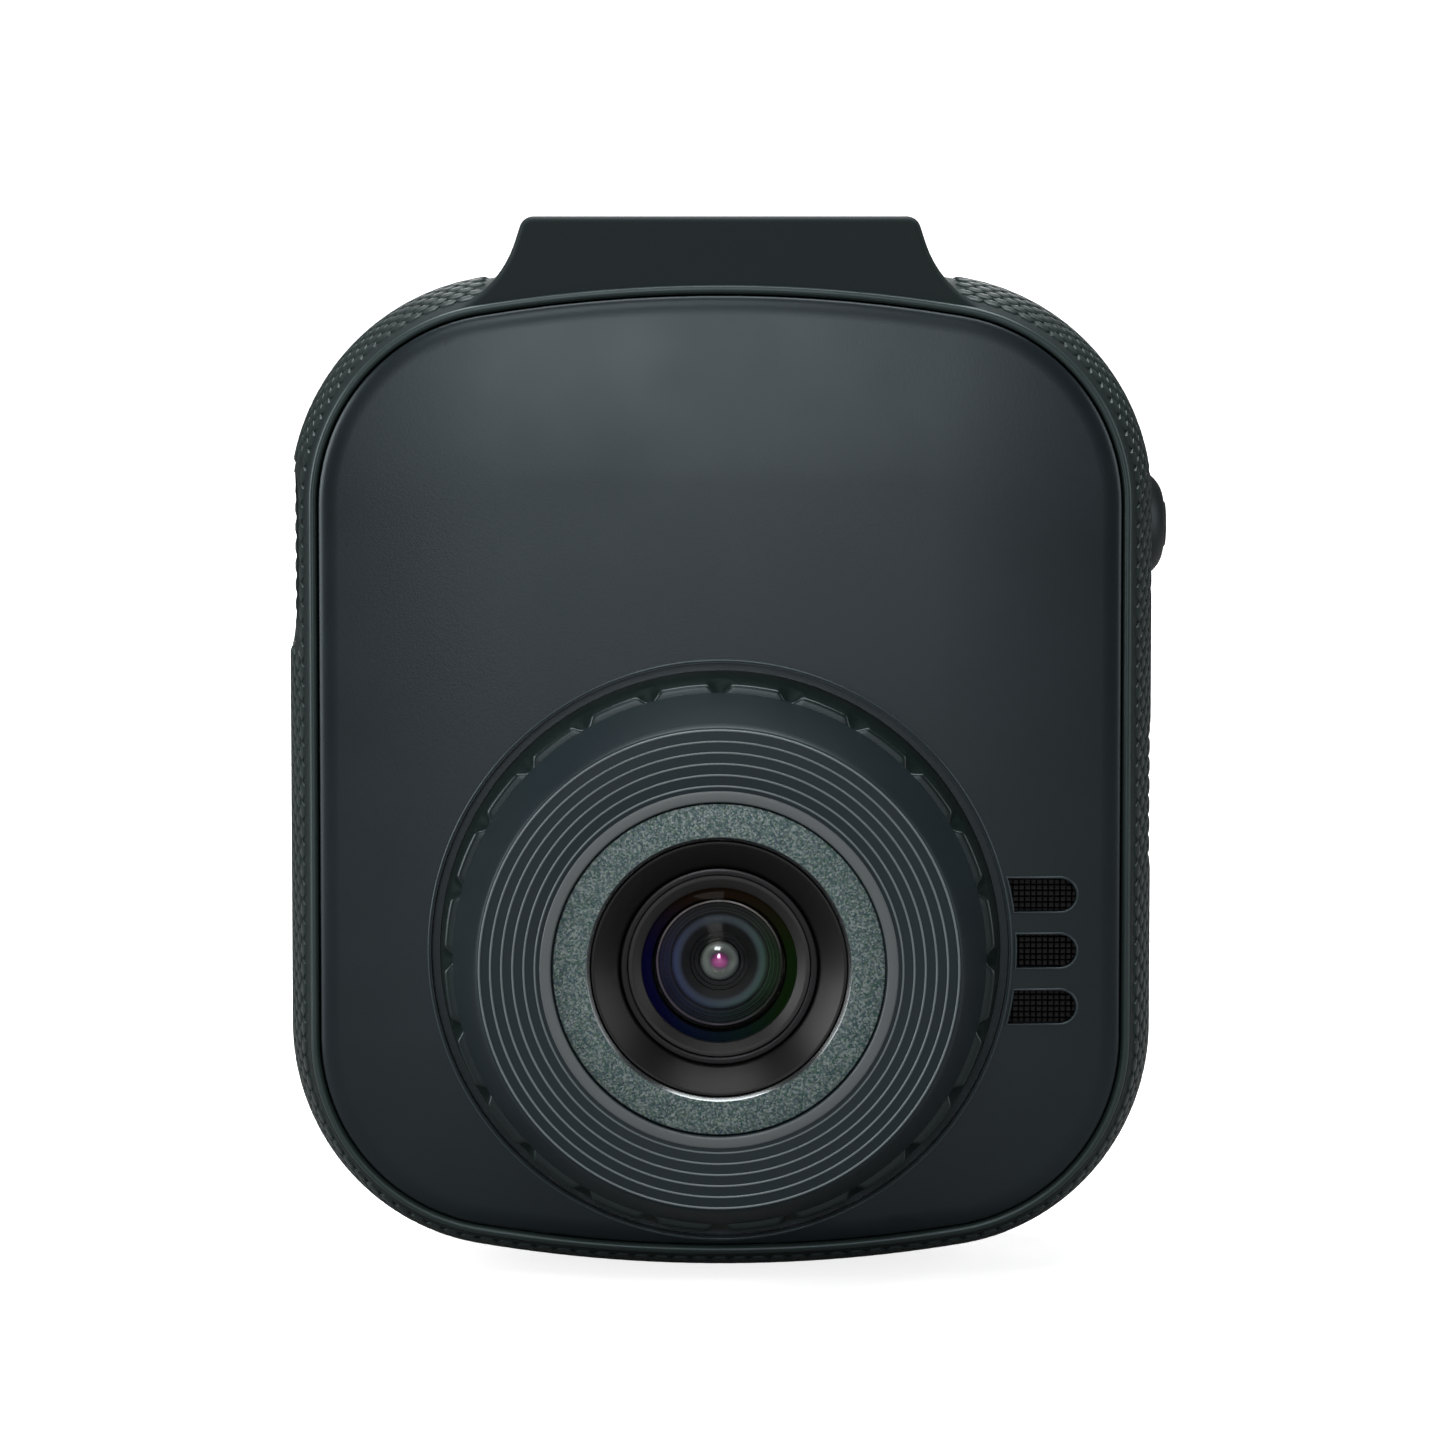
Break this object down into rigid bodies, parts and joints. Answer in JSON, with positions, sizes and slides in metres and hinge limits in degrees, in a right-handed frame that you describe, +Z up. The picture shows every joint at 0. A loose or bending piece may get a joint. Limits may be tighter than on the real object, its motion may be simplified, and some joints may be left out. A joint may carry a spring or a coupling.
{
  "type": "dash camera",
  "caption": "Compact in-car dash camera with a large round lens housing, a neck for a windscreen bracket, a textured side band, a side button and a rear screen with keys.",
  "frame": {"origin": "centre of the neck's flat top, at the mouth of the bracket slot and half way through the body's depth", "axes": "+Z up; the lens looks along -Y; +X is the side with the round button"},
  "size_m": [0.0531, 0.0307, 0.0632],
  "materials": {
    "case_plastic": "fine satin moulding",
    "frame_plastic": "honeycomb-textured moulding",
    "lens_plastic": "satin moulding with turned ribs",
    "trim_metal": "bead-blasted grey-green anodising",
    "hood_plastic": "satin black",
    "barrel_metal": "black anodised",
    "lens_glass": "multi-coated",
    "filter_glass": "infrared-cut coated",
    "chip_epoxy": "moulded epoxy",
    "chip_ceramic": "fired ceramic with tinned ends",
    "circuit_board": "solder mask over glass-epoxy laminate",
    "plated_steel": "tin-plated sheet",
    "card_plastic": "moulded",
    "connector_plastic": "moulded nylon",
    "battery_foil": "laminated pouch foil",
    "foam": "closed-cell foam",
    "speaker_steel": "stamped shell",
    "mesh_steel": "blackened fine mesh",
    "button_plastic": "satin moulding",
    "window_acrylic": "clear acrylic, black printed border",
    "screen_glass": "polarised panel",
    "backlight_plastic": "white frame",
    "ribbon_film": "amber polyimide film",
    "led_epoxy": "clear epoxy",
    "light_pipe_acrylic": "clear acrylic",
    "screw_steel": "black oxide"
  },
  "bodies": {
    "camera": {"front_cover": "case_plastic", "middle_frame": "frame_plastic", "rear_cover": "case_plastic", "grip_ring": "lens_plastic", "lens_bezel": "lens_plastic", "trim_ring": "trim_metal", "lens_hood": "hood_plastic", "lens_barrel": "barrel_metal", "retaining_ring": "barrel_metal", "front_element": "lens_glass", "lens_spacer": "barrel_metal", "middle_element": "lens_glass", "aperture_stop": "barrel_metal", "rear_spacer": "barrel_metal", "rear_element": "lens_glass", "lens_holder": "hood_plastic", "ir_filter": "filter_glass", "image_sensor": "chip_epoxy", "main_board": "circuit_board", "board_components": "chip_ceramic", "usb_socket": "plated_steel", "card_socket": "plated_steel", "board_connector": "connector_plastic", "battery": "battery_foil", "battery_pad": "foam", "speaker": "speaker_steel", "speaker_gasket": "foam", "speaker_mesh": "mesh_steel", "side_switch": "connector_plastic", "screen_window": "window_acrylic", "screen_gasket": "foam", "screen_panel": "screen_glass", "screen_backlight": "backlight_plastic", "screen_bracket": "hood_plastic", "screen_ribbon": "ribbon_film", "ribbon_socket": "connector_plastic", "key_switches": "connector_plastic", "key_board": "circuit_board", "status_led": "led_epoxy", "light_pipe": "light_pipe_acrylic", "microphone": "plated_steel", "case_screws": "screw_steel", "board_screws": "screw_steel", "holder_screws": "screw_steel", "bezel_screws": "screw_steel", "processor": "chip_epoxy", "memory_chip": "chip_epoxy", "power_chip": "chip_epoxy", "motion_sensor": "chip_epoxy"},
    "side_button": {"side_button": "button_plastic", "side_plunger": "button_plastic"},
    "memory_card": {"memory_card": "card_plastic"},
    "menu_button": {"menu_button": "button_plastic", "menu_plunger": "button_plastic"},
    "up_button": {"up_button": "button_plastic", "up_plunger": "button_plastic"},
    "down_button": {"down_button": "button_plastic", "down_plunger": "button_plastic"},
    "ok_button": {"ok_button": "button_plastic", "ok_plunger": "button_plastic"}
  },
  "joints": [
    {"name": "side_button_press", "type": "slide", "parent": "camera", "child": "side_button", "axis": [-1, 0, 0], "range_m": [0, 0.0003], "stiffness_N_per_m": 3000},
    {"name": "menu_button_press", "type": "slide", "parent": "camera", "child": "menu_button", "axis": [0, -1, 0], "range_m": [0, 0.0003], "stiffness_N_per_m": 3000},
    {"name": "up_button_press", "type": "slide", "parent": "camera", "child": "up_button", "axis": [0, -1, 0], "range_m": [0, 0.0003], "stiffness_N_per_m": 3000},
    {"name": "down_button_press", "type": "slide", "parent": "camera", "child": "down_button", "axis": [0, -1, 0], "range_m": [0, 0.0003], "stiffness_N_per_m": 3000},
    {"name": "ok_button_press", "type": "slide", "parent": "camera", "child": "ok_button", "axis": [0, -1, 0], "range_m": [0, 0.0003], "stiffness_N_per_m": 3000},
    {"name": "memory_card_slide", "type": "slide", "parent": "camera", "child": "memory_card", "axis": [1, 0, 0], "range_m": [-0.0006, 0.012]}
  ]
}
